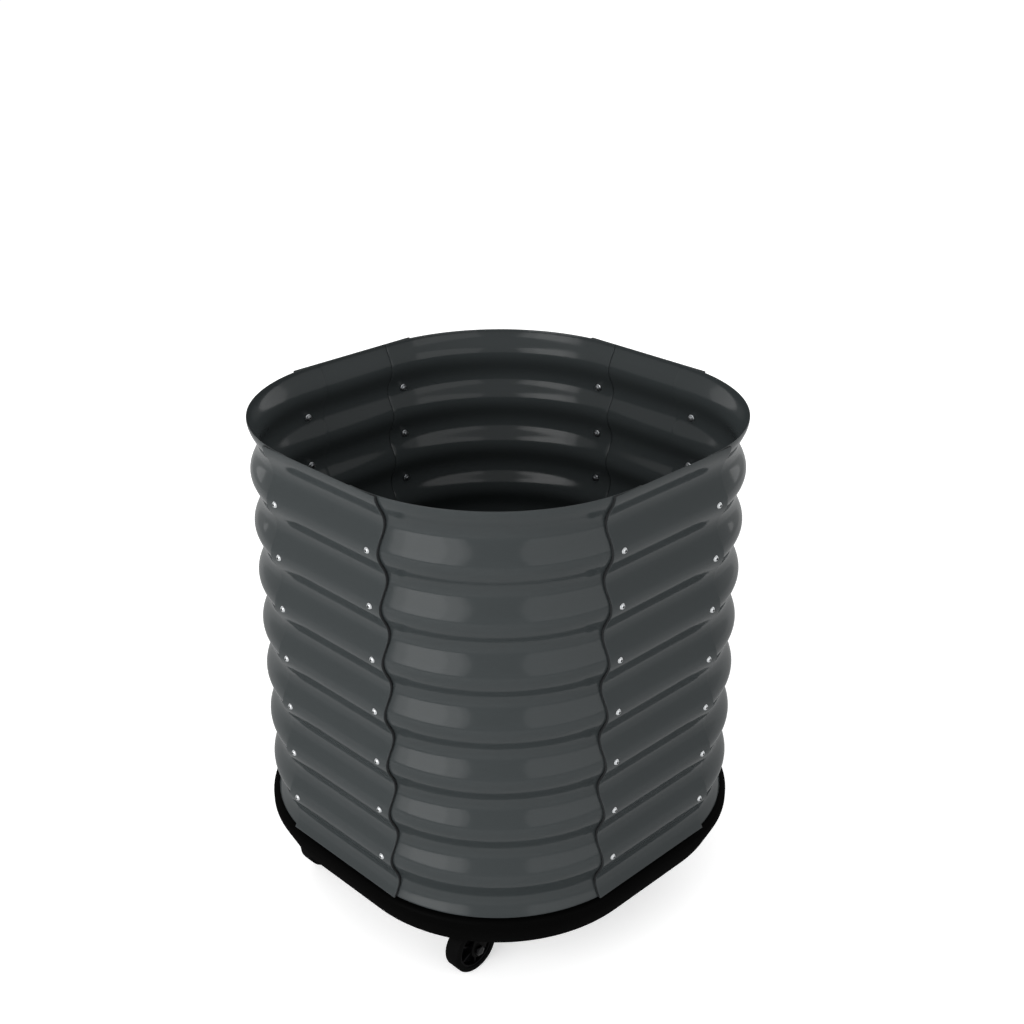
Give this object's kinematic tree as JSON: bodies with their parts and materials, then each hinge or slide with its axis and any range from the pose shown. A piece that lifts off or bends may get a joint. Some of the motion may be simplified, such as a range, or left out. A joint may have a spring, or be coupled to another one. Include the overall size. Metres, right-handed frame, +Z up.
{
  "type": "rolling planter",
  "caption": "Deep square planter with round corners: a ring of corrugated steel panels screwed together on a moulded tray with swivel casters.",
  "frame": {"origin": "on the floor, under the middle of the ring of panels", "axes": "+Z up, +X to the right side, -Y to the front; the casters trail towards -Y"},
  "size_m": [0.6292, 0.6292, 0.7346],
  "materials": {
    "panel_coat": "slate grey powder coat, satin",
    "seal_rubber": "black, matt",
    "screw_steel": "stainless, bright",
    "zinc_steel": "zinc plated",
    "black_steel": "black zinc",
    "tray_plastic": "black, moulded, satin",
    "caster_coat": "black powder coat, satin",
    "ball_steel": "ground and polished",
    "wheel_plastic": "black, moulded",
    "tyre_rubber": "black, matt",
    "pedal_plastic": "black, moulded"
  },
  "bodies": {
    "planter": {"corner_panel_back_right": "panel_coat", "corner_panel_back_left": "panel_coat", "corner_panel_front_left": "panel_coat", "corner_panel_front_right": "panel_coat", "side_panel_right": "panel_coat", "side_panel_back": "panel_coat", "side_panel_left": "panel_coat", "side_panel_front": "panel_coat", "seal_strips_back_right": "seal_rubber", "seal_strips_back_left": "seal_rubber", "seal_strips_front_left": "seal_rubber", "seal_strips_front_right": "seal_rubber", "panel_screws": "screw_steel", "panel_nuts": "zinc_steel", "base_tray": "tray_plastic", "plate_screws": "zinc_steel", "plate_washers": "zinc_steel", "caster_plate_back_right": "caster_coat", "caster_race_back_right": "caster_coat", "caster_kingpin_back_right": "black_steel", "caster_plate_back_left": "caster_coat", "caster_race_back_left": "caster_coat", "caster_kingpin_back_left": "black_steel", "caster_plate_front_left": "caster_coat", "caster_race_front_left": "caster_coat", "caster_kingpin_front_left": "black_steel", "caster_plate_front_right": "caster_coat", "caster_race_front_right": "caster_coat", "caster_kingpin_front_right": "black_steel"},
    "swivel_back_right": {"caster_fork_back_right": "caster_coat", "caster_balls_back_right": "ball_steel", "caster_axle_bolt_back_right": "black_steel", "caster_axle_nut_back_right": "black_steel", "brake_pin_back_right": "black_steel"},
    "wheel_back_right": {"caster_wheel_back_right": "wheel_plastic", "caster_tyre_back_right": "tyre_rubber"},
    "brake_back_right": {"brake_pedal_back_right": "pedal_plastic"},
    "swivel_back_left": {"caster_fork_back_left": "caster_coat", "caster_balls_back_left": "ball_steel", "caster_axle_bolt_back_left": "black_steel", "caster_axle_nut_back_left": "black_steel", "brake_pin_back_left": "black_steel"},
    "wheel_back_left": {"caster_wheel_back_left": "wheel_plastic", "caster_tyre_back_left": "tyre_rubber"},
    "brake_back_left": {"brake_pedal_back_left": "pedal_plastic"},
    "swivel_front_left": {"caster_fork_front_left": "caster_coat", "caster_balls_front_left": "ball_steel", "caster_axle_bolt_front_left": "black_steel", "caster_axle_nut_front_left": "black_steel"},
    "wheel_front_left": {"caster_wheel_front_left": "wheel_plastic", "caster_tyre_front_left": "tyre_rubber"},
    "swivel_front_right": {"caster_fork_front_right": "caster_coat", "caster_balls_front_right": "ball_steel", "caster_axle_bolt_front_right": "black_steel", "caster_axle_nut_front_right": "black_steel"},
    "wheel_front_right": {"caster_wheel_front_right": "wheel_plastic", "caster_tyre_front_right": "tyre_rubber"}
  },
  "joints": [
    {"name": "swivel_back_right", "type": "hinge", "parent": "planter", "child": "swivel_back_right", "pos_m": [0.164, 0.184, 0.09], "axis": [0, 0, 1], "continuous": true},
    {"name": "roll_back_right", "type": "hinge", "parent": "swivel_back_right", "child": "wheel_back_right", "pos_m": [0.164, 0.15, 0.0375], "axis": [1, 0, 0], "continuous": true},
    {"name": "brake_back_right", "type": "hinge", "parent": "swivel_back_right", "child": "brake_back_right", "pos_m": [0.164, 0.136, 0.07948], "axis": [1, 0, 0], "range_deg": [0, 13]},
    {"name": "swivel_back_left", "type": "hinge", "parent": "planter", "child": "swivel_back_left", "pos_m": [-0.164, 0.184, 0.09], "axis": [0, 0, 1], "continuous": true},
    {"name": "roll_back_left", "type": "hinge", "parent": "swivel_back_left", "child": "wheel_back_left", "pos_m": [-0.164, 0.15, 0.0375], "axis": [1, 0, 0], "continuous": true},
    {"name": "brake_back_left", "type": "hinge", "parent": "swivel_back_left", "child": "brake_back_left", "pos_m": [-0.164, 0.136, 0.07948], "axis": [1, 0, 0], "range_deg": [0, 13]},
    {"name": "swivel_front_left", "type": "hinge", "parent": "planter", "child": "swivel_front_left", "pos_m": [-0.164, -0.184, 0.09], "axis": [0, 0, 1], "continuous": true},
    {"name": "roll_front_left", "type": "hinge", "parent": "swivel_front_left", "child": "wheel_front_left", "pos_m": [-0.164, -0.218, 0.0375], "axis": [1, 0, 0], "continuous": true},
    {"name": "swivel_front_right", "type": "hinge", "parent": "planter", "child": "swivel_front_right", "pos_m": [0.164, -0.184, 0.09], "axis": [0, 0, 1], "continuous": true},
    {"name": "roll_front_right", "type": "hinge", "parent": "swivel_front_right", "child": "wheel_front_right", "pos_m": [0.164, -0.218, 0.0375], "axis": [1, 0, 0], "continuous": true}
  ]
}
